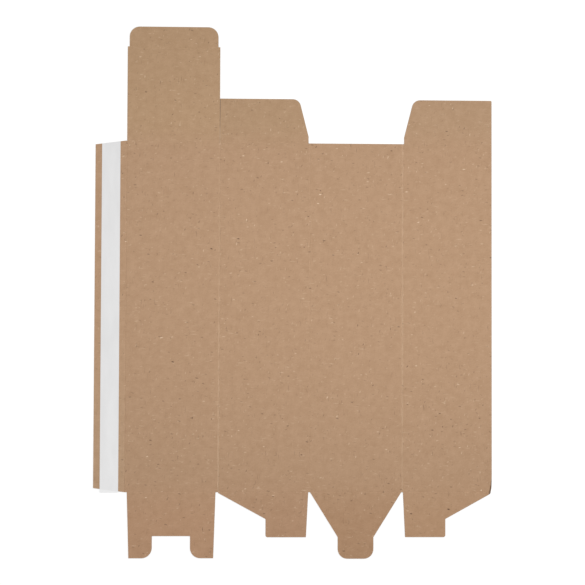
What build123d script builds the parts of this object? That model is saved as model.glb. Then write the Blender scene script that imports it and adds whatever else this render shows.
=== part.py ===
from build123d import *
import os
from math import radians, tan

# Flat die-cut blank of a tall carton with a tuck-in lid and a snap-lock bottom, outer face up.
# Lengths are millimetres. The drawing has x = 0 on the crease beside the glue flap and y = 0 on
# the bottom crease line, and the finished pieces are moved so that the blank is centred.

# Board
board_thickness = 1.5
knife_cut = 0.4  # mouth of the cut between the lid and the dust flap beside it
knife_cut_foot_share = 0.3  # width at the foot of that cut, as a share of its mouth
cut_overrun = 2.0  # how far a cutting tool stands out of the board

# Creases, pressed in from the inner face, with a faint mark on the outer face
crease_width = 1.8
crease_floor_share = 0.3  # flat floor of a crease, as a share of its width
inner_crease_depth = 0.45
wall_mark_depth = 0.22  # outer mark of the creases between walls
flap_mark_depth = 0.07  # outer mark of the creases that carry flaps

# Walls, from crease to crease
broad_wall_width = 91.5  # back wall and front wall
side_wall_width = 89.0
closing_wall_width = 88.3  # last wall, which laps over the glue flap
wall_height = 342.7

# Glue flap, with ends cut at a slant
glue_flap_width = 30.25
glue_flap_angle = 7.4

# Lid and tuck flap on the back wall
lid_depth = 93.05
lid_ease = 0.55  # the lid stands in from the glue flap's crease by this much
lid_relief = 0.7  # small nick at the foot of the lid
tuck_depth = 19.7
tuck_ease = 1.8
tuck_radius = 10.0
tuck_crease_dip = 2.2  # the tuck crease runs this far below the lid's shoulders
tuck_crease_rise_length = 11.0  # stretch over which it rises to the shoulders

# Dust flaps on the two side walls
dust_flap_depth = 43.7
dust_flap_ease = 1.55
dust_flap_foot = 6.6  # straight stretch above the crease, before the slope
dust_flap_angle = 14.3
dust_flap_radius = 8.0
worn_corner_radius = 1.0  # rubbed outer corner of the last dust flap

# Slotted lock flap under the back wall
slotted_flap_depth = 64.2
slotted_flap_ease = 2.5
slotted_flap_taper = 2.0
slot_width = 37.25
slot_depth = 21.5
leg_radius = 10.0

# Lock flaps under the two side walls: a square tab and a long slope
side_flap_depth = 43.9
side_flap_ease = 0.8
side_flap_taper = 2.15
tab_width = 42.5
tab_shoulder_depth = 26.2
tab_radius = 2.0
slope_start_depth = 0.85

# Tongue lock flap under the front wall, narrowed down to the depth of its neighbours
tongue_flap_depth = 64.9
tongue_flap_ease = 0.9
tongue_width = 35.0
tongue_radius = 9.5

# Crushed corner at the foot of the closing wall
crush_length = 16.0
crush_width = 3.0
crush_depth = 2.2  # deeper than the board, so that the corner is worn through

# Adhesive strip and its release liner on the glue flap
tape_width = 18.0
tape_margin = 6.4  # from the glue flap's outer edge
adhesive_thickness = 0.15
adhesive_setback = 1.0  # from the glue flap's slanted ends
liner_thickness = 0.12
liner_tab = 0.2  # the liner's square lower end, below the bottom crease line

# Crease lines and cut edges that follow from these
first_side_x = broad_wall_width
front_x = first_side_x + side_wall_width
closing_x = front_x + broad_wall_width
right_edge_x = closing_x + closing_wall_width
lid_crease_y = wall_height + board_thickness
shoulder_y = lid_crease_y + lid_depth
tuck_top_y = shoulder_y + tuck_depth
glue_flap_slope = tan(radians(glue_flap_angle))
knife_cut_foot = knife_cut * knife_cut_foot_share


def card(*corners):
    """Flat outline through corners (x, y) or, where a corner is round, (x, y, radius)."""
    points = [corner[:2] for corner in corners]
    radii = [corner[2] if len(corner) == 3 else 0 for corner in corners]
    return make_face(FilletPolyline(*points, radius=radii, close=True))


def back_wall():
    return card((0, 0), (first_side_x, 0), (first_side_x, lid_crease_y), (0, lid_crease_y))


def other_walls():
    left, right = first_side_x, right_edge_x
    return card((left, 0), (right, 0), (right, wall_height), (left, wall_height))


def glue_flap():
    drop = glue_flap_width * glue_flap_slope
    outer = -glue_flap_width
    return card((0, 0), (0, lid_crease_y), (outer, lid_crease_y - drop), (outer, drop))


def lid_and_tuck():
    left, right = lid_ease, first_side_x
    tuck_left, tuck_right = left + tuck_ease, right - tuck_ease
    return card(
        (left + lid_relief, lid_crease_y),
        (left, lid_crease_y + lid_relief),
        (left, shoulder_y),
        (tuck_left, shoulder_y),
        (tuck_left, tuck_top_y, tuck_radius),
        (tuck_right, tuck_top_y, tuck_radius),
        (tuck_right, shoulder_y),
        (right, shoulder_y),
        (right, lid_crease_y),
    )


def dust_flap(straight_foot_x, straight_top_x, crease_x, corner_radius):
    """Flap with one nearly upright edge, and a sloped edge beside the crease at crease_x."""
    inward = 1 if straight_foot_x > crease_x else -1
    slope_foot_x = crease_x + inward * dust_flap_ease
    slope_run = (dust_flap_depth - dust_flap_foot) * tan(radians(dust_flap_angle))
    top_y = wall_height + dust_flap_depth
    return card(
        (straight_foot_x, wall_height),
        (straight_top_x, top_y, corner_radius),
        (slope_foot_x + inward * slope_run, top_y, dust_flap_radius),
        (slope_foot_x, wall_height + dust_flap_foot),
        (slope_foot_x, wall_height),
    )


def slotted_flap():
    left, right = slotted_flap_ease, first_side_x - slotted_flap_ease
    slot_left = (first_side_x - slot_width) / 2
    slot_right = slot_left + slot_width
    slot_y = slot_depth - slotted_flap_depth
    return card(
        (left, 0),
        (left + slotted_flap_taper, -slotted_flap_depth),
        (slot_left, -slotted_flap_depth, leg_radius),
        (slot_left, slot_y),
        (slot_right, slot_y),
        (slot_right, -slotted_flap_depth, leg_radius),
        (right - slotted_flap_taper, -slotted_flap_depth),
        (right, 0),
    )


def side_flap(crease_x, far_x):
    """Lock flap whose tab stands beside the front wall's crease and whose slope runs to far_x."""
    outward = 1 if far_x > crease_x else -1
    foot_x = crease_x + outward * side_flap_ease
    tab_x = crease_x + outward * tab_width
    return card(
        (foot_x, 0),
        (foot_x + outward * side_flap_taper, -side_flap_depth),
        (tab_x, -side_flap_depth, tab_radius),
        (tab_x, -tab_shoulder_depth),
        (far_x, -slope_start_depth),
        (far_x, 0),
    )


def tongue_flap():
    left, right = front_x + tongue_flap_ease, closing_x - tongue_flap_ease
    tongue_left = (front_x + closing_x - tongue_width) / 2
    tongue_right = tongue_left + tongue_width
    return card(
        (left, 0),
        (tongue_left, -side_flap_depth),
        (tongue_left, -tongue_flap_depth, tongue_radius),
        (tongue_right, -tongue_flap_depth, tongue_radius),
        (tongue_right, -side_flap_depth),
        (right, 0),
    )


def outline():
    return Sketch() + [
        back_wall(),
        other_walls(),
        glue_flap(),
        lid_and_tuck(),
        dust_flap(first_side_x + knife_cut_foot, first_side_x + knife_cut, front_x, 0),
        dust_flap(right_edge_x, right_edge_x, closing_x, worn_corner_radius),
        slotted_flap(),
        side_flap(front_x, first_side_x),
        side_flap(closing_x, right_edge_x),
        tongue_flap(),
    ]


def groove(start, end, depth, up):
    """Channel pressed along a crease, into the outer face (up = 1) or the inner face (up = -1)."""
    face_z = board_thickness if up > 0 else 0
    run = Vector(*end) - Vector(*start)
    across = Vector(0, 0, up).cross(run)
    section = Plane(origin=(*start, face_z), x_dir=across, z_dir=run)
    half = crease_width / 2
    floor = half * crease_floor_share
    profile = Polyline(
        (-half, cut_overrun),
        (-half, 0),
        (-floor, -depth),
        (floor, -depth),
        (half, 0),
        (half, cut_overrun),
        close=True,
    )
    return extrude(section * make_face(profile), amount=run.length)


def wall_creases():
    open_top = wall_height + cut_overrun
    return [
        ((0, 0), (0, lid_crease_y)),
        ((first_side_x, 0), (first_side_x, wall_height)),
        ((front_x, 0), (front_x, open_top)),
        ((closing_x, 0), (closing_x, open_top)),
    ]


def flap_creases():
    slit_x = first_side_x + knife_cut_foot / 2
    crushed_x = right_edge_x - crush_width
    open_side = right_edge_x + cut_overrun
    return [
        ((0, 0), (crushed_x, 0)),
        ((0, lid_crease_y), (slit_x, lid_crease_y)),
        ((slit_x, wall_height), (front_x, wall_height)),
        ((closing_x, wall_height), (open_side, wall_height)),
        *tuck_crease(),
    ]


def tuck_crease():
    """The tuck flap's crease dips between the lid's shoulders and runs out over their corners."""
    left, right = lid_ease + tuck_ease, first_side_x - tuck_ease
    run_out = tuck_ease + cut_overrun
    run_out_y = shoulder_y + run_out * tuck_crease_dip / tuck_crease_rise_length
    dip_y = shoulder_y - tuck_crease_dip
    knots = [
        (left - run_out, run_out_y),
        (left + tuck_crease_rise_length, dip_y),
        (right - tuck_crease_rise_length, dip_y),
        (right + run_out, run_out_y),
    ]
    return list(zip(knots, knots[1:]))


def crushed_corner():
    """Wedge that starts on the right-hand edge and widens down to the corner and past it."""
    corner_y = -slope_start_depth
    growth = (crush_length + crush_width) / crush_length
    base = (right_edge_x, corner_y - crush_width, board_thickness)
    section = Plane(origin=base, x_dir=(1, 0, 0), z_dir=(0, -1, 0))
    triangle = Polyline((0, 0), (-crush_width * growth, 0), (0, -crush_depth * growth), close=True)
    tip = Vertex(right_edge_x, corner_y + crush_length, board_thickness)
    return loft([section * make_face(triangle), tip])


def carton_blank():
    board = extrude(outline(), amount=board_thickness)
    marks = [groove(*line, wall_mark_depth, 1) for line in wall_creases()]
    marks += [groove(*line, flap_mark_depth, 1) for line in flap_creases()]
    pressed = [groove(*line, inner_crease_depth, -1) for line in wall_creases() + flap_creases()]
    return board - marks - pressed - crushed_corner()


def tape_edges():
    left = tape_margin - glue_flap_width
    return left, left + tape_width


def glue_flap_ends(x):
    """Lower and upper end of the glue flap at x, which is negative there."""
    return -x * glue_flap_slope, lid_crease_y + x * glue_flap_slope


def adhesive_strip():
    left, right = tape_edges()
    (left_low, left_high), (right_low, right_high) = glue_flap_ends(left), glue_flap_ends(right)
    strip = card(
        (left, left_low + adhesive_setback),
        (right, right_low + adhesive_setback),
        (right, right_high - adhesive_setback),
        (left, left_high - adhesive_setback),
    )
    return Pos(0, 0, board_thickness) * extrude(strip, amount=adhesive_thickness)


def release_liner():
    left, right = tape_edges()
    left_high, right_high = glue_flap_ends(left)[1], glue_flap_ends(right)[1]
    strip = card((left, -liner_tab), (right, -liner_tab), (right, right_high), (left, left_high))
    return Pos(0, 0, board_thickness + adhesive_thickness) * extrude(strip, amount=liner_thickness)


def main():
    os.makedirs("parts", exist_ok=True)
    middle = outline().bounding_box().center()
    centred = Pos(-middle.X, -middle.Y, 0)
    pieces = {
        "carton_blank": carton_blank(),
        "adhesive_strip": adhesive_strip(),
        "release_liner": release_liner(),
    }
    for name, piece in pieces.items():
        placed = centred * piece
        placed.label = name
        export_step(placed, f"parts/{name}.step")


main()
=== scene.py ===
import math

import bmesh
import bpy
from mathutils import Matrix, Vector


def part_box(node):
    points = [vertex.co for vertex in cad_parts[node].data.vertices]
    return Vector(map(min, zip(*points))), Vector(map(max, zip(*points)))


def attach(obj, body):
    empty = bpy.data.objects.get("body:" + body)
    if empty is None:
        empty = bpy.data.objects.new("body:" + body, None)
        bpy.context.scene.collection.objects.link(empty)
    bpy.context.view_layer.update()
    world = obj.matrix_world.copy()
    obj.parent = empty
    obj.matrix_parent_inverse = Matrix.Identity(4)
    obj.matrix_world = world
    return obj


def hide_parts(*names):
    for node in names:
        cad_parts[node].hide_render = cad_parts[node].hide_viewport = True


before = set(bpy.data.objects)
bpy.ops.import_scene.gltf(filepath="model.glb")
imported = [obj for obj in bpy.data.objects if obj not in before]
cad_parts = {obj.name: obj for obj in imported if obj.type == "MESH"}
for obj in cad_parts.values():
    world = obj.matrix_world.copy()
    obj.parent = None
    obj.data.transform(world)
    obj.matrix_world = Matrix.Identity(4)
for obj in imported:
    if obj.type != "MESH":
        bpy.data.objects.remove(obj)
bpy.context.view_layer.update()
scene = bpy.context.scene
scene.view_settings.view_transform = "Standard"
blankLow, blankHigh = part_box("carton_blank")
print("frame loaded:", ", ".join(sorted(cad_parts)))

mm = 0.001  # pieces and finishes are given in millimetres; floor, lights and camera in metres
white = (1.0, 1.0, 1.0, 1.0)

# Where the creases lie, measured from the blank's right-hand edge and from the tongue's end
carton = {
    "closingWall": 88.3,
    "frontWall": 91.5,
    "sideWall": 89.0,
    "backWall": 91.5,
    "tongueDepth": 64.9,
    "wallHeight": 342.7,
    "tuckDepth": 19.7,
    "glueFlapAngle": 7.4,  # degrees
}
rightEdge = blankHigh.x / mm
closingCrease = rightEdge - carton["closingWall"]
frontCrease = closingCrease - carton["frontWall"]
sideCrease = frontCrease - carton["sideWall"]
glueCrease = sideCrease - carton["backWall"]
bottomCrease = blankLow.y / mm + carton["tongueDepth"]
topCrease = bottomCrease + carton["wallHeight"]
shoulderLine = blankHigh.y / mm - carton["tuckDepth"]
boardTop = blankHigh.z / mm


# Helpers for node trees, shared by the materials and the geometry

def addNode(tree, kind, inputs=None, **settings):
    node = tree.nodes.new(kind)
    for name, value in settings.items():
        setattr(node, name, value)
    for key, value in (inputs or {}).items():
        if isinstance(value, bpy.types.NodeSocket):
            tree.links.new(value, node.inputs[key])
        else:
            node.inputs[key].default_value = value
    return node


def calc(tree, operation, first, second=0.0, third=0.0, clamp=False):
    inputs = {0: first, 1: second, 2: third}
    return addNode(tree, "ShaderNodeMath", inputs, operation=operation, use_clamp=clamp).outputs[0]


def total(tree, values):
    result = values[0]
    for value in values[1:]:
        result = calc(tree, "ADD", result, value)
    return result


def product(tree, values):
    result = values[0]
    for value in values[1:]:
        result = calc(tree, "MULTIPLY", result, value)
    return result


def ramp(tree, value, fromLow, fromHigh, toLow=0.0, toHigh=1.0, smooth=True):
    inputs = {"Value": value, "From Min": fromLow, "From Max": fromHigh, "To Min": toLow, "To Max": toHigh}
    kind = "SMOOTHSTEP" if smooth else "LINEAR"
    return addNode(tree, "ShaderNodeMapRange", inputs, interpolation_type=kind).outputs["Result"]


def near(tree, value, centre, inner, outer):
    away = calc(tree, "ABSOLUTE", calc(tree, "SUBTRACT", value, centre))
    return ramp(tree, away, inner, outer, 1.0, 0.0)


def about(line, offsets):
    return [line + offset for offset in offsets]


def spread(middle, half):
    return middle - half, middle + half


def split(tree, vector):
    return addNode(tree, "ShaderNodeSeparateXYZ", {0: vector}).outputs


def vectorOf(tree, x, y, z):
    return addNode(tree, "ShaderNodeCombineXYZ", {0: x, 1: y, 2: z}).outputs[0]


def vectorCalc(tree, operation, first, second):
    inputs = {0: first, 1: second}
    return addNode(tree, "ShaderNodeVectorMath", inputs, operation=operation).outputs["Vector"]


def shade(tree, colour, level):
    inputs = {0: colour, "Scale": level}
    return addNode(tree, "ShaderNodeVectorMath", inputs, operation="SCALE").outputs["Vector"]


def tint(tree, amount, colour, towards):
    node = addNode(tree, "ShaderNodeMix", {0: amount, 6: colour, 7: towards}, data_type="RGBA")
    return node.outputs[2]


def newMaterial(name):
    material = bpy.data.materials.new(name)
    material.use_nodes = True
    material.node_tree.nodes.clear()
    return material, material.node_tree


def millimetres(tree):
    return shade(tree, addNode(tree, "ShaderNodeTexCoord").outputs["Object"], 1.0 / mm)


def stretched(tree, place, length, width, angle, start):
    inputs = {
        "Vector": place,
        "Location": (start, start, 0.0),
        "Rotation": (0.0, 0.0, math.radians(angle)),
        "Scale": (length, width, width),
    }
    return addNode(tree, "ShaderNodeMapping", inputs, vector_type="TEXTURE").outputs["Vector"]


def noise(tree, place, length, width, angle=0.0, start=0.0, detail=2.0):
    mapped = stretched(tree, place, length, width, angle, start)
    inputs = {"Vector": mapped, "Scale": 1.0, "Detail": detail}
    return addNode(tree, "ShaderNodeTexNoise", inputs).outputs


def grain(tree, place, length, width, angle=0.0, start=0.0):
    return noise(tree, place, length, width, angle, start)["Fac"]


def centred(tree, level):
    return calc(tree, "SUBTRACT", level, 0.5)  # noise lies evenly about a half


def bumped(tree, height, look):
    inputs = {"Height": height, "Strength": look["bump"], "Distance": look["bumpHeight"] * mm}
    return addNode(tree, "ShaderNodeBump", inputs).outputs[0]


def finishWith(tree, **surface):
    inputs = {name.replace("_", " "): value for name, value in surface.items()}
    shader = addNode(tree, "ShaderNodeBsdfPrincipled", inputs)
    addNode(tree, "ShaderNodeOutputMaterial", {"Surface": shader.outputs[0]})


# Kraft board: fibres, mottling, light and dark flecks, painted shade on the flaps, creases rubbed pale with
# painted highlight, raw cut edges with painted shade, a crushed corner with painted shade

kraftLook = {
    "paper": {
        "colour": (0.482, 0.3035, 0.1853),
        "tint": (0.82, 1.0, 1.25),  # how far each of the three colours follows the fibres
        "fibreLength": 4.0,
        "fibreWidth": 0.62,
        "fibreAngles": (4.0, -24.0, 38.0, 86.0),
        "fibreContrast": 0.45,
        "mottleSize": 7.0,
        "mottleContrast": 0.23,
    },
    "paintedFlapLight": {
        "flaps": (  # painted shade of the flaps above and below each wall, as each tilts a little and catches the light differently, beside the wall's own
            {"left": glueCrease, "upper": (1.005, 1.025, 0.99), "lower": (1.045, 0.995, 0.98)},
            {"left": sideCrease, "upper": (0.96, 0.98, 0.955), "lower": (0.987, 0.945, 0.935)},
            {"left": frontCrease, "upper": (1.0, 1.0, 1.0), "lower": (0.95, 0.905, 0.868)},
            {"left": closingCrease, "upper": (0.975, 0.993, 0.988), "lower": (1.013, 0.983, 0.953)},
        ),
        "creaseBlend": 0.5,  # to each side of a wall crease
        "upperFade": (-12.0, 22.0),  # from the top crease
        "lowerFade": (25.0, -35.0),  # from the bottom crease
        "glueFootLight": (1.06, 1.1, 1.12, 1.0),  # painted light on the glue flap's lower half, against the lamp's falloff, beside its upper half
        "glueFootTop": 20.0,
    },
    "flecks": {
        "pale": (0.98, 0.78, 0.56, 1.0),
        "dark": (0.12, 0.07, 0.04, 1.0),
        "kinds": (
            {"tone": "pale", "cell": 4.4, "length": 2.3, "width": 0.85, "angle": 5.0, "strength": 0.085},
            {"tone": "pale", "cell": 4.4, "length": 2.2, "width": 0.75, "angle": 78.0, "strength": 0.075},
            {"tone": "pale", "cell": 2.6, "length": 5.0, "width": 0.55, "angle": -2.0, "strength": 0.05},
            {"tone": "dark", "cell": 4.4, "length": 2.3, "width": 0.85, "angle": -7.0, "strength": 0.155},
            {"tone": "dark", "cell": 4.4, "length": 2.0, "width": 0.75, "angle": 64.0, "strength": 0.135},
            {"tone": "dark", "cell": 2.6, "length": 4.6, "width": 0.55, "angle": 91.0, "strength": 0.08},
        ),
        "sizes": (0.4, 0.9),  # smallest and largest, in widths
        "core": 0.25,  # share of a fleck before it fades
        "drift": 1.6,
        "driftSize": 3.0,
        "driftDetail": 1.0,
        "patchSize": 14.0,
        "patchRange": (0.35, 0.6),
        "patchGain": (0.35, 1.3),
    },
    "creaseWearAndLight": {
        "walls": (  # how much paler each wall crease is at its top and at its foot
            {"line": sideCrease, "top": 0.01, "foot": 0.15},
            {"line": frontCrease, "top": 0.02, "foot": 0.0},
            {"line": closingCrease, "top": 0.095, "foot": 0.085},
        ),
        "wallReach": (0.9, 1.4),
        # painted light over every crease groove, evening out its shade
        "everyCrease": 0.01,
        "tuckEnds": 0.035,
        "tuckMiddle": (31.0, 34.0),  # half of the tuck crease's middle, which isn't rubbed
        "tuckStart": (-5.0, -4.0),  # from the shoulders
        "grooveDepth": (0.004, 0.06),
        "breakWidth": 0.8,
        "breakLength": 9.0,
        "breakRange": (0.4, 0.62),
        "breakGain": (0.35, 1.35),
        "slitFoot": 0.09,
        "slitFootHeight": 6.0,  # above the top crease
        "slitFootReach": (6.0, 12.0),
        "slitReach": (0.7, 1.3),
    },
    "cutEdge": {
        "colour": (0.36, 0.23, 0.135),
        "strength": 0.75,
        "facing": (0.35, 0.75),  # upward part of the normal, from cut edge to face
        # painted shade between the two faces, inside the flute mouths
        "insideShade": 0.8,
        "insideDepth": (0.26, 0.3),  # under the outer face
        "insideHeight": (0.1, 0.2),  # over the inner face
        "tearLength": 0.5,
        "tearWidth": 0.12,
        "tearRange": (0.3, 0.7),
        "tearGain": (0.75, 1.3),
    },
    # crushed fibres and painted shade of the bent-down corner
    "crushAndShade": {
        "colour": (0.20, 0.115, 0.07, 1.0),
        "strength": 0.85,
        "across": (-5.275, -4.275),  # from the right-hand edge
        "up": (20.0, 12.0),  # from the bottom crease
        "depth": (0.02, 0.35),
        "height": (0.0, 0.1),
    },
    "surface": {
        "fuzz": 0.4,  # beside the fibres
        "fuzzLength": 0.5,
        "fuzzWidth": 0.16,
        "fuzzAngle": 8.0,
        "bump": 0.4,
        "bumpHeight": 0.06,
        "roughness": 0.86,
        "roughnessSwing": -0.06,
        "fibreSwing": 0.3,
        "specular": 0.18,
    },
    "starts": {  # where each noise starts, so that no two look alike
        "fibre": 31.0,
        "mottle": 83.0,
        "drift": 5.0,
        "patch": 47.0,
        "fleck": 11.0,
        "nextFleck": 19.0,
        "break": 23.0,
        "tear": 3.0,
        "fuzz": 7.0,
    },
}


def paperFibres(tree, place, look):
    paper = look["paper"]
    strands = [
        grain(tree, place, paper["fibreLength"], paper["fibreWidth"], angle, look["starts"]["fibre"] * index)
        for index, angle in enumerate(paper["fibreAngles"])
    ]
    return centred(tree, calc(tree, "DIVIDE", total(tree, strands), len(strands)))


def paperColour(tree, place, fibre, look):
    # crossing fibres over slow mottling
    paper = look["paper"]
    size = paper["mottleSize"]
    mottle = centred(tree, grain(tree, place, size, size, 0.0, look["starts"]["mottle"]))
    change = calc(tree, "MULTIPLY", fibre, paper["fibreContrast"])
    change = calc(tree, "MULTIPLY_ADD", mottle, paper["mottleContrast"], change)
    levels = (calc(tree, "MULTIPLY_ADD", change, share, 1.0) for share in paper["tint"])
    return vectorCalc(tree, "MULTIPLY", paper["colour"], vectorOf(tree, *levels))


def flapPaintedLightColour(tree, place, colour, look):
    # painted shade: flaps a little lighter or darker than the walls that carry them, as each catches the
    # light differently; painted light on the glue flap's lower half
    paintedFlapLight = look["paintedFlapLight"]
    x, y, _ = split(tree, place)
    upper = lower = vectorOf(tree, 1.0, 1.0, 1.0)
    for flap in paintedFlapLight["flaps"]:
        beyond = ramp(tree, x, *spread(flap["left"], paintedFlapLight["creaseBlend"]))
        upper = tint(tree, beyond, upper, (*flap["upper"], 1.0))
        lower = tint(tree, beyond, lower, (*flap["lower"], 1.0))
    onGlueFlap = ramp(tree, x, *spread(glueCrease, -paintedFlapLight["creaseBlend"]))
    glueFootLight = product(tree, (onGlueFlap, ramp(tree, y, paintedFlapLight["glueFootTop"], bottomCrease)))
    tone = tint(tree, glueFootLight, white, paintedFlapLight["glueFootLight"])
    tone = tint(tree, ramp(tree, y, *about(topCrease, paintedFlapLight["upperFade"])), tone, upper)
    tone = tint(tree, ramp(tree, y, *about(bottomCrease, paintedFlapLight["lowerFade"])), tone, lower)
    return vectorCalc(tree, "MULTIPLY", colour, tone)


def drifted(tree, place, look):
    # each place moved a little, so that no fleck is a plain oval
    flecks = look["flecks"]
    size = flecks["driftSize"]
    swirl = noise(tree, place, size, size, 0.0, look["starts"]["drift"], flecks["driftDetail"])["Color"]
    move = shade(tree, vectorCalc(tree, "SUBTRACT", swirl, (0.5, 0.5, 0.5)), flecks["drift"])
    return vectorCalc(tree, "ADD", place, move)


def fleckLayer(tree, place, kind, flecks, start):
    # one fleck in each cell, most of them faint and a few strong
    cell, width = kind["cell"], kind["width"]
    mapped = stretched(tree, place, cell * kind["length"] / width, cell, kind["angle"], start)
    cells = addNode(tree, "ShaderNodeTexVoronoi", {"Vector": mapped, "Scale": 1.0}, voronoi_dimensions="2D")
    luck = addNode(tree, "ShaderNodeSeparateColor", {0: cells.outputs["Color"]}).outputs
    smallest, largest = (size * width / cell for size in flecks["sizes"])
    size = ramp(tree, luck[0], 0.0, 1.0, smallest, largest, smooth=False)
    shape = ramp(tree, cells.outputs["Distance"], size, calc(tree, "MULTIPLY", size, flecks["core"]))
    strength = calc(tree, "MULTIPLY", calc(tree, "LOGARITHM", luck[1], math.e), -kind["strength"])
    return calc(tree, "MULTIPLY", shape, strength)


def fleckedColour(tree, place, colour, look):
    # flecks gathered in patches
    flecks, starts = look["flecks"], look["starts"]
    size = flecks["patchSize"]
    patches = grain(tree, place, size, size, 0.0, starts["patch"])
    patch = ramp(tree, patches, *flecks["patchRange"], *flecks["patchGain"])
    moved = drifted(tree, place, look)
    layers = {"pale": [], "dark": []}
    for index, kind in enumerate(flecks["kinds"]):
        start = starts["fleck"] + starts["nextFleck"] * index
        layers[kind["tone"]].append(fleckLayer(tree, moved, kind, flecks, start))
    for tone, found in layers.items():
        amount = calc(tree, "MULTIPLY", total(tree, found), patch, clamp=True)
        colour = tint(tree, amount, colour, flecks[tone])
    return colour


def depthAt(tree, place):
    return calc(tree, "SUBTRACT", boardTop, split(tree, place)["Z"])


def creaseWearAndLightColour(tree, place, colour, look):
    # creases rubbed pale in broken lines, partly worn fibres and partly painted highlight that lifts the
    # shade in the grooves, and the foot of the slit beside the lid
    creaseWearAndLight = look["creaseWearAndLight"]
    x, y, _ = split(tree, place)
    inGroove = ramp(tree, depthAt(tree, place), *creaseWearAndLight["grooveDepth"])
    breaks = grain(tree, place, creaseWearAndLight["breakWidth"], creaseWearAndLight["breakLength"], 0.0, look["starts"]["break"])
    broken = ramp(tree, breaks, *creaseWearAndLight["breakRange"], *creaseWearAndLight["breakGain"])
    amounts = []
    for wall in creaseWearAndLight["walls"]:
        amount = ramp(tree, y, topCrease, bottomCrease, wall["top"], wall["foot"], smooth=False)
        amounts.append(product(tree, (near(tree, x, wall["line"], *creaseWearAndLight["wallReach"]), amount)))
    lidMiddle = (glueCrease + sideCrease) / 2.0
    offMiddle = calc(tree, "SUBTRACT", 1.0, near(tree, x, lidMiddle, *creaseWearAndLight["tuckMiddle"]))
    onTuck = ramp(tree, y, *about(shoulderLine, creaseWearAndLight["tuckStart"]))
    amounts += [creaseWearAndLight["everyCrease"], product(tree, (offMiddle, onTuck, creaseWearAndLight["tuckEnds"]))]
    wearAndLight = product(tree, (total(tree, amounts), inGroove, broken))
    onSlit = near(tree, x, sideCrease, *creaseWearAndLight["slitReach"])
    atFoot = near(tree, y, topCrease + creaseWearAndLight["slitFootHeight"], *creaseWearAndLight["slitFootReach"])
    wearAndLight = calc(tree, "MULTIPLY_ADD", product(tree, (onSlit, atFoot)), creaseWearAndLight["slitFoot"], wearAndLight)
    return tint(tree, wearAndLight, colour, look["flecks"]["pale"])


def cutEdgeAndShadeColour(tree, place, colour, look):
    # raw paper where the knife cut, darker partly from painted shade, and painted shade between the two
    # faces
    edge = look["cutEdge"]
    normal = addNode(tree, "ShaderNodeNewGeometry").outputs["Normal"]
    facing = calc(tree, "ABSOLUTE", split(tree, normal)["Z"])
    side = ramp(tree, facing, *edge["facing"], 1.0, 0.0)
    underFace = ramp(tree, depthAt(tree, place), *edge["insideDepth"])
    overFace = ramp(tree, split(tree, place)["Z"], *edge["insideHeight"])
    rawAndShade = calc(tree, "MAXIMUM", side, product(tree, (underFace, overFace, edge["insideShade"])))
    tear = grain(tree, place, edge["tearLength"], edge["tearWidth"], 0.0, look["starts"]["tear"])
    torn = shade(tree, edge["colour"], ramp(tree, tear, *edge["tearRange"], *edge["tearGain"]))
    return tint(tree, calc(tree, "MULTIPLY", rawAndShade, edge["strength"]), colour, torn)


def crushAndShadeColour(tree, place, colour, look):
    # dark corner at the foot of the closing wall: crushed fibres, and painted shade of its bent-down edge
    crushAndShade = look["crushAndShade"]
    x, y, z = split(tree, place)
    amount = product(tree, (
        ramp(tree, x, *about(rightEdge, crushAndShade["across"])),
        ramp(tree, y, *about(bottomCrease, crushAndShade["up"])),
        ramp(tree, depthAt(tree, place), *crushAndShade["depth"]),
        ramp(tree, z, *crushAndShade["height"]),
        crushAndShade["strength"],
    ))
    return tint(tree, amount, colour, crushAndShade["colour"])


def kraftMaterial(look):
    material, tree = newMaterial("kraftBoard")
    place = millimetres(tree)
    fibre = paperFibres(tree, place, look)
    colour = paperColour(tree, place, fibre, look)
    for layer in (flapPaintedLightColour, fleckedColour, creaseWearAndLightColour, cutEdgeAndShadeColour, crushAndShadeColour):
        colour = layer(tree, place, colour, look)

    surface = look["surface"]
    fuzzStart = look["starts"]["fuzz"]
    fuzz = grain(tree, place, surface["fuzzLength"], surface["fuzzWidth"], surface["fuzzAngle"], fuzzStart)
    bump = bumped(tree, calc(tree, "MULTIPLY_ADD", fuzz, surface["fuzz"], fibre), surface)
    fibreRange = spread(0.0, surface["fibreSwing"])
    rough = ramp(tree, fibre, *fibreRange, *spread(surface["roughness"], surface["roughnessSwing"]))
    finishWith(tree, Base_Color=colour, Roughness=rough, Normal=bump, Specular_IOR_Level=surface["specular"])
    return material


# Release liner: smooth white paper with long faint streaks, with painted light towards its foot and where it
# hangs past the board

linerLook = {
    "colour": (0.793, 0.789, 0.79),
    "overhangLight": white,  # painted light where it hangs past the board, in place of light through the thin paper
    "overhangStrength": 0.9,
    "overhangFade": (-0.2, 0.6),
    "footPaintedLight": 0.16,  # painted light: how much paler it gets towards its lower end, against the lamp's falloff
    "footHeight": 150.0,
    "streakLength": 30.0,
    "streakWidth": 8.0,
    "streakAngle": 90.0,
    "streakRange": (0.2, 0.8),
    "streakContrast": 0.045,
    "toothSize": 0.3,
    "toothStart": 5.0,
    "bump": 0.1,
    "bumpHeight": 0.02,
    "roughness": 0.5,
    "roughnessSwing": 0.05,
    "specular": 0.3,
}


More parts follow.
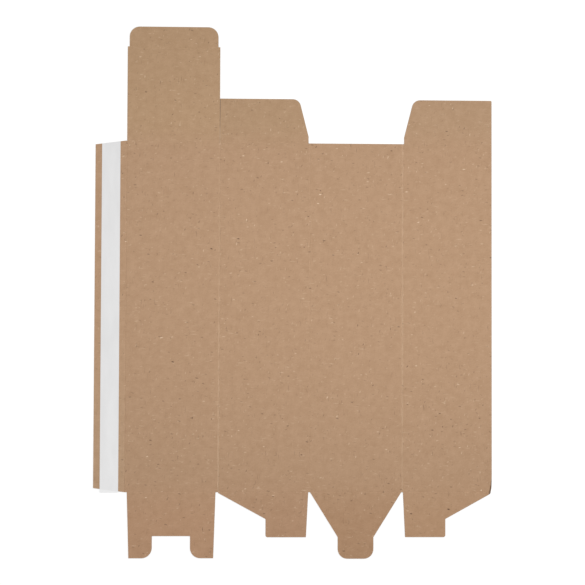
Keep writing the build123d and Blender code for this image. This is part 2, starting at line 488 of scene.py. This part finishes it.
def linerMaterial(look):
    material, tree = newMaterial("linerPaper")
    place = millimetres(tree)
    x, y, _ = split(tree, place)
    streak = grain(tree, place, look["streakLength"], look["streakWidth"], look["streakAngle"])
    level = ramp(tree, streak, *look["streakRange"], *spread(1.0, look["streakContrast"]), smooth=False)
    # painted light, paler towards the lower end
    footTop = bottomCrease + look["footHeight"]
    foot = ramp(tree, y, footTop, bottomCrease, 1.0, 1.0 + look["footPaintedLight"], smooth=False)
    colour = shade(tree, look["colour"], calc(tree, "MULTIPLY", level, foot))

    # painted light where the paper hangs below the glue flap's slanted lower end, in place of light through
    # the thin paper
    slope = math.tan(math.radians(carton["glueFlapAngle"]))
    endLine = calc(tree, "MULTIPLY_ADD", calc(tree, "SUBTRACT", glueCrease, x), slope, bottomCrease)
    hangingLit = ramp(tree, calc(tree, "SUBTRACT", endLine, y), *look["overhangFade"])
    colour = tint(tree, calc(tree, "MULTIPLY", hangingLit, look["overhangStrength"]), colour, look["overhangLight"])

    tooth = grain(tree, place, look["toothSize"], look["toothSize"], 0.0, look["toothStart"])
    bump = bumped(tree, tooth, look)
    rough = ramp(tree, streak, *look["streakRange"], *spread(look["roughness"], look["roughnessSwing"]))
    finishWith(tree, Base_Color=colour, Roughness=rough, Normal=bump, Specular_IOR_Level=look["specular"])
    return material


# Adhesive film under the liner, seen only at its edges

adhesiveLook = {
    "colour": (0.80, 0.78, 0.70, 1.0),
    "haze": (0.66, 0.62, 0.52, 1.0),
    "cloudLength": 6.0,
    "cloudWidth": 1.5,
    "cloudAngle": 90.0,
    "cloudRange": (0.3, 0.7),
    "roughness": (0.27, 0.47),  # clear and hazy
}


def adhesiveMaterial(look):
    material, tree = newMaterial("adhesiveFilm")
    cloud = grain(tree, millimetres(tree), look["cloudLength"], look["cloudWidth"], look["cloudAngle"])
    colour = tint(tree, ramp(tree, cloud, *look["cloudRange"]), look["colour"], look["haze"])
    rough = ramp(tree, cloud, *look["cloudRange"], *look["roughness"])
    finishWith(tree, Base_Color=colour, Roughness=rough)
    return material


kraft = kraftMaterial(kraftLook)
for name, finish in (
    ("adhesive_strip", adhesiveMaterial(adhesiveLook)),
    ("release_liner", linerMaterial(linerLook)),
):
    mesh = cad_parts[name].data
    mesh.materials.clear()
    mesh.materials.append(finish)
print("finishes made")


# The board, with rims pressed round by the knife and flute mouths along its cut edges

boardLook = {
    "rimRadius": 0.16,
    "rimSegments": 2,
    "mergeDistance": 0.001,
    "flatAngle": 0.2,  # degrees between triangles of one face
    "leastFlat": 0.7,  # upward part of a face's normal, and of a cut edge's
    "mostUpright": 0.3,
    "flutes": {  # inputs of the node tree, in metres
        "Pitch": 3.3 * mm,
        "Liner": 0.24 * mm,
        "Medium": 0.15 * mm,
        "Mouth Share": 0.88,  # width of a mouth, in pitches
        "Depth": 9.0 * mm,
        "Least Share": 0.7,  # how much of the depth the shortest has
        "Least Depth": 1.5 * mm,
        "Edge Step": 3.0 * mm,  # steepest cut edge, as rise over half a flute, that shows mouths
        "Crease Gap": 1.1 * mm,
        "Corner Gap": 4.0 * mm,  # no mouths this near the right-hand edge, which is crushed
        "Crush": 0.25,  # how flat the knife may press a mouth
        "Seed": 7,
        "Bottom Crease": bottomCrease * mm,
        "Glue Crease": glueCrease * mm,
        "Side Crease": sideCrease * mm,
        "Front Crease": frontCrease * mm,
        "Closing Crease": closingCrease * mm,
    },
}


def roundedBoard(look):
    shape = bmesh.new()
    shape.from_mesh(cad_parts["carton_blank"].data)
    bmesh.ops.remove_doubles(shape, verts=shape.verts, dist=look["mergeDistance"] * mm)
    flatAngle = math.radians(look["flatAngle"])
    bmesh.ops.dissolve_limit(shape, angle_limit=flatAngle, verts=shape.verts, edges=shape.edges)
    rims = []
    for edge in shape.edges:
        flat, upright = sorted((abs(face.normal.z) for face in edge.link_faces), reverse=True)
        if flat > look["leastFlat"] and upright < look["mostUpright"]:
            rims.append(edge)
    bmesh.ops.bevel(
        shape,
        geom=rims,
        offset=look["rimRadius"] * mm,
        segments=look["rimSegments"],
        profile=0.5,  # round
        affect="EDGES",
        clamp_overlap=True,
    )
    mesh = bpy.data.meshes.new("carton_board")
    mesh.materials.append(kraft)
    shape.to_mesh(mesh)
    shape.free()
    board = bpy.data.objects.new("carton_board", mesh)
    scene.collection.objects.link(board)
    return board


def fluteCutter(tree, given, thickness):
    # hollow between one face and the wavy medium, one unit long along y
    half = calc(tree, "DIVIDE", thickness, 2.0)
    roof = calc(tree, "SUBTRACT", half, given["Liner"])
    thick = calc(tree, "DIVIDE", given["Medium"], 2.0)
    swing = calc(tree, "SUBTRACT", roof, thick)
    width = calc(tree, "MULTIPLY", given["Pitch"], given["Mouth Share"])
    grid = {"Size X": width, "Size Y": 1.0, "Vertices X": 9, "Vertices Y": 2}  # floor and roof
    sheet = addNode(tree, "GeometryNodeMeshGrid", grid).outputs["Mesh"]
    x, y, _ = split(tree, addNode(tree, "GeometryNodeInputPosition").outputs[0])
    turn = calc(tree, "MULTIPLY", calc(tree, "DIVIDE", x, given["Pitch"]), math.tau)
    wave = calc(tree, "MULTIPLY_ADD", calc(tree, "COSINE", turn), calc(tree, "MULTIPLY", swing, -1.0), thick)
    isRoof = calc(tree, "GREATER_THAN", y, 0.0)
    height = calc(tree, "MULTIPLY_ADD", isRoof, calc(tree, "SUBTRACT", roof, wave), wave)
    bent = {"Geometry": sheet, "Position": vectorOf(tree, x, 0.0, height)}
    profile = addNode(tree, "GeometryNodeSetPosition", bent).outputs[0]
    push = {"Mesh": profile, "Offset": vectorOf(tree, 0.0, 1.0, 0.0), "Individual": False}
    pushed = addNode(tree, "GeometryNodeExtrudeMesh", push).outputs["Mesh"]
    closed = addNode(tree, "GeometryNodeJoinGeometry")
    tree.links.new(profile, closed.inputs[0])
    tree.links.new(addNode(tree, "GeometryNodeFlipFaces", {"Mesh": pushed}).outputs[0], closed.inputs[0])
    weld = {"Geometry": closed.outputs[0], "Distance": 0.0001 * mm}
    return addNode(tree, "GeometryNodeMergeByDistance", weld).outputs[0]


def chance(tree, least, seed):
    # random share from least to 1, different for each flute
    return addNode(tree, "FunctionNodeRandomValue", {2: least, 3: 1.0, "Seed": seed}).outputs[1]


def edgeHits(tree, given, x, start, level, inward):
    # whether and where rays meet the board, at a flute and half a flute to each side of it
    half = calc(tree, "DIVIDE", given["Pitch"], 2.0)
    hits = []
    for sideways in (0.0, -1.0, 1.0):
        ray = {
            "Target Geometry": given["Board"],
            "Source Position": vectorOf(tree, calc(tree, "MULTIPLY_ADD", half, sideways, x), start, level),
            "Ray Direction": (0.0, inward, 0.0),
            "Ray Length": 1.0,  # metres, more than the blank's height
        }
        cast = addNode(tree, "GeometryNodeRaycast", ray).outputs
        hits.append((cast["Is Hit"], split(tree, cast["Hit Position"])["Y"]))
    return hits


def clearOfCreases(tree, given, x):
    half = calc(tree, "DIVIDE", given["Pitch"], 2.0)
    clearance = calc(tree, "ADD", half, given["Crease Gap"])
    clear = []
    for crease in ("Glue Crease", "Side Crease", "Front Crease", "Closing Crease"):
        away = calc(tree, "ABSOLUTE", calc(tree, "SUBTRACT", x, given[crease]))
        clear.append(calc(tree, "GREATER_THAN", away, clearance))
    return clear


def edgeMouths(tree, given, columns, cutter, low, high, inward):
    # mouths along all the edges that face away from the inward direction, +1 up the blank or -1 down it
    x = split(tree, addNode(tree, "GeometryNodeInputPosition").outputs[0])["X"]
    level = calc(tree, "DIVIDE", calc(tree, "ADD", low["Z"], high["Z"]), 2.0)
    lead = 10.0 * mm  # from where the rays start to the blank
    start = calc(tree, "ADD", low["Y"] if inward > 0 else high["Y"], -lead * inward)
    hits = edgeHits(tree, given, x, start, level, inward)
    edge = hits[0][1]
    wanted = [hit for hit, _ in hits]
    for _, other in hits[1:]:
        rise = calc(tree, "ABSOLUTE", calc(tree, "SUBTRACT", other, edge))
        wanted.append(calc(tree, "LESS_THAN", rise, given["Edge Step"]))
    wanted.append(calc(tree, "LESS_THAN", x, calc(tree, "SUBTRACT", high["X"], given["Corner Gap"])))
    wanted += clearOfCreases(tree, given, x)

    # mouths under the bottom crease stop short of it
    room = calc(tree, "SUBTRACT", calc(tree, "SUBTRACT", given["Bottom Crease"], given["Crease Gap"]), edge)
    room = calc(tree, "ADD", room, calc(tree, "GREATER_THAN", edge, given["Bottom Crease"]))
    share = chance(tree, given["Least Share"], given["Seed"])
    depth = calc(tree, "MINIMUM", calc(tree, "MULTIPLY", given["Depth"], share), room)
    wanted.append(calc(tree, "GREATER_THAN", depth, given["Least Depth"]))

    # each mouth starts outside the board, and every second one is turned over
    outside = calc(tree, "MULTIPLY", given["Edge Step"], -inward)
    moved = vectorOf(tree, x, calc(tree, "ADD", edge, outside), level)
    points = addNode(tree, "GeometryNodeSetPosition", {"Geometry": columns, "Position": moved}).outputs[0]
    pressed = chance(tree, calc(tree, "SUBTRACT", 1.0, given["Crush"]), given["Seed"])
    underside = calc(tree, "MODULO", addNode(tree, "GeometryNodeInputIndex").outputs[0], 2.0)
    euler = vectorOf(tree, 0.0, calc(tree, "MULTIPLY", underside, math.pi), 0.0 if inward > 0 else math.pi)
    instances = {
        "Points": points,
        "Selection": product(tree, wanted),
        "Instance": cutter,
        "Rotation": addNode(tree, "FunctionNodeEulerToRotation", {0: euler}).outputs[0],
        "Scale": vectorOf(tree, 1.0, calc(tree, "ADD", depth, given["Edge Step"]), pressed),
    }
    return addNode(tree, "GeometryNodeInstanceOnPoints", instances).outputs[0]


def fluteTree(sizes):
    tree = bpy.data.node_groups.new("fluteMouths", "GeometryNodeTree")
    tree.interface.new_socket("Board", in_out="INPUT", socket_type="NodeSocketGeometry")
    for name, value in sizes.items():
        kind = "NodeSocketInt" if isinstance(value, int) else "NodeSocketFloat"
        tree.interface.new_socket(name, in_out="INPUT", socket_type=kind)
    tree.interface.new_socket("Finish", in_out="INPUT", socket_type="NodeSocketMaterial")
    tree.interface.new_socket("Board", in_out="OUTPUT", socket_type="NodeSocketGeometry")
    given = addNode(tree, "NodeGroupInput").outputs

    box = addNode(tree, "GeometryNodeBoundBox", {"Geometry": given["Board"]}).outputs
    low, high = split(tree, box["Min"]), split(tree, box["Max"])
    half = calc(tree, "DIVIDE", given["Pitch"], 2.0)
    count = calc(tree, "FLOOR", calc(tree, "DIVIDE", calc(tree, "SUBTRACT", high["X"], low["X"]), half))
    line = {
        "Count": count,
        "Start Location": vectorOf(tree, calc(tree, "MULTIPLY_ADD", half, 0.5, low["X"]), 0.0, 0.0),
        "Offset": vectorOf(tree, half, 0.0, 0.0),
    }
    columns = addNode(tree, "GeometryNodeMeshLine", line).outputs[0]
    cutter = fluteCutter(tree, given, calc(tree, "SUBTRACT", high["Z"], low["Z"]))
    cuts = addNode(tree, "GeometryNodeJoinGeometry")
    for inward in (1.0, -1.0):
        tree.links.new(edgeMouths(tree, given, columns, cutter, low, high, inward), cuts.inputs[0])
    solid = addNode(tree, "GeometryNodeRealizeInstances", {"Geometry": cuts.outputs[0]}).outputs[0]
    carved = addNode(
        tree,
        "GeometryNodeMeshBoolean",
        {"Mesh 1": given["Board"], "Mesh 2": solid},
        operation="DIFFERENCE",
        solver="MANIFOLD",
    ).outputs["Mesh"]
    real = addNode(tree, "GeometryNodeRealizeInstances", {"Geometry": carved}).outputs[0]
    finish = {"Geometry": real, "Material": given["Finish"]}
    finished = addNode(tree, "GeometryNodeSetMaterial", finish).outputs[0]
    addNode(tree, "NodeGroupOutput", {0: finished})
    return tree


def applyTree(piece, tree, values):
    modifier = piece.modifiers.new(tree.name, "NODES")
    modifier.node_group = tree
    for item in tree.interface.items_tree:
        if item.in_out == "INPUT" and item.name in values:
            modifier[item.identifier] = values[item.name]
    evaluated = piece.evaluated_get(bpy.context.evaluated_depsgraph_get())
    mesh = bpy.data.meshes.new_from_object(evaluated)
    piece.modifiers.remove(modifier)
    piece.data = mesh


board = roundedBoard(boardLook)
fluteSizes = boardLook["flutes"]
applyTree(board, fluteTree(fluteSizes), {**fluteSizes, "Finish": kraft})
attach(board, "root")
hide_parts("carton_blank")
print("board made:", len(board.data.polygons), "faces")


# Floor, white to the camera, that keeps a soft contact shadow

floorLook = {
    "halfSize": 12.0,
    "nearRadius": 0.33,
    "farRadius": 0.8,
    "colour": (0.45, 0.45, 0.45, 1.0),
    "glow": 0.69,
    "farGlow": 1.0,
    "shadowReach": 0.003,
    "shadowRange": (0.2, 0.45),  # openness, from full shadow to none
    "drop": 0.00002,  # below the board
}


def backgroundRays(tree):
    rays = addNode(tree, "ShaderNodeLightPath").outputs
    seen = calc(tree, "MAXIMUM", rays["Is Camera Ray"], rays["Is Glossy Ray"])
    return calc(tree, "MAXIMUM", seen, rays["Is Transmission Ray"])


def floorMaterial(look):
    material, tree = newMaterial("floorPaper")
    place = addNode(tree, "ShaderNodeTexCoord").outputs["Object"]
    reach = addNode(tree, "ShaderNodeVectorMath", {0: place}, operation="LENGTH").outputs["Value"]
    glow = ramp(tree, reach, look["nearRadius"], look["farRadius"], look["glow"], look["farGlow"])
    openness = addNode(tree, "ShaderNodeAmbientOcclusion", {"Distance": look["shadowReach"]}).outputs["AO"]
    lit = ramp(tree, openness, *look["shadowRange"])
    strength = product(tree, (backgroundRays(tree), glow, lit))
    paper = addNode(tree, "ShaderNodeBsdfDiffuse", {"Color": look["colour"]})
    glowing = addNode(tree, "ShaderNodeEmission", {"Strength": strength})
    both = addNode(tree, "ShaderNodeAddShader", {0: paper.outputs[0], 1: glowing.outputs[0]})
    addNode(tree, "ShaderNodeOutputMaterial", {"Surface": both.outputs[0]})
    return material


def makeFloor(look):
    half = look["halfSize"]
    corners = [(-half, -half, 0.0), (half, -half, 0.0), (half, half, 0.0), (-half, half, 0.0)]
    mesh = bpy.data.meshes.new("floor")
    mesh.from_pydata(corners, [], [(0, 1, 2, 3)])
    mesh.materials.append(floorMaterial(look))
    floor = bpy.data.objects.new("floor", mesh)
    floor.location.z = blankLow.z - look["drop"]
    scene.collection.objects.link(floor)


makeFloor(floorLook)


# Soft studio light: an even fill and one long soft box above, a little to the right

lightRig = {
    "fill": 0.42,
    "boxPlace": (0.165, 0.036, 0.60),
    "boxWidth": 1.2,
    "boxDepth": 0.2,
    "boxPower": 3.3,
}


def makeLights(rig):
    world = bpy.data.worlds.new("studio")
    world.use_nodes = True
    tree = world.node_tree
    tree.nodes.clear()
    strength = ramp(tree, backgroundRays(tree), 0.0, 1.0, rig["fill"], 1.0, smooth=False)
    sky = addNode(tree, "ShaderNodeBackground", {"Color": white, "Strength": strength})
    addNode(tree, "ShaderNodeOutputWorld", {"Surface": sky.outputs[0]})
    scene.world = world
    lamp = bpy.data.lights.new("softBox", "AREA")
    lamp.shape = "RECTANGLE"
    lamp.size, lamp.size_y = rig["boxWidth"], rig["boxDepth"]
    lamp.energy = rig["boxPower"]
    softBox = bpy.data.objects.new("softBox", lamp)
    softBox.location = rig["boxPlace"]
    softBox.visible_camera = False
    scene.collection.objects.link(softBox)


makeLights(lightRig)
print("floor and lights ready")


# Camera almost straight above, leaning a little and turned a little

cameraRig = {
    "aim": (-0.00143, -0.00048, 0.0015),
    "forward": (0.0305, 0.02865, -0.999),
    "distance": 1.3577,
    "roll": 0.2064,  # degrees
    "lens": 85.0,
    "sensor": 36.0,
}


def makeCamera(rig):
    data = bpy.data.cameras.new("camera")
    data.lens, data.sensor_width = rig["lens"], rig["sensor"]
    camera = bpy.data.objects.new("camera", data)
    forward = Vector(rig["forward"]).normalized()
    right = forward.cross(Vector((0.0, 1.0, 0.0))).normalized()
    up = right.cross(forward)
    axes = Matrix((right, up, -forward)).transposed().to_4x4()
    turn = Matrix.Rotation(math.radians(rig["roll"]), 4, "Z")
    place = Vector(rig["aim"]) - forward * rig["distance"]
    camera.matrix_world = Matrix.Translation(place) @ axes @ turn
    scene.collection.objects.link(camera)
    scene.camera = camera


makeCamera(cameraRig)
print("camera ready")
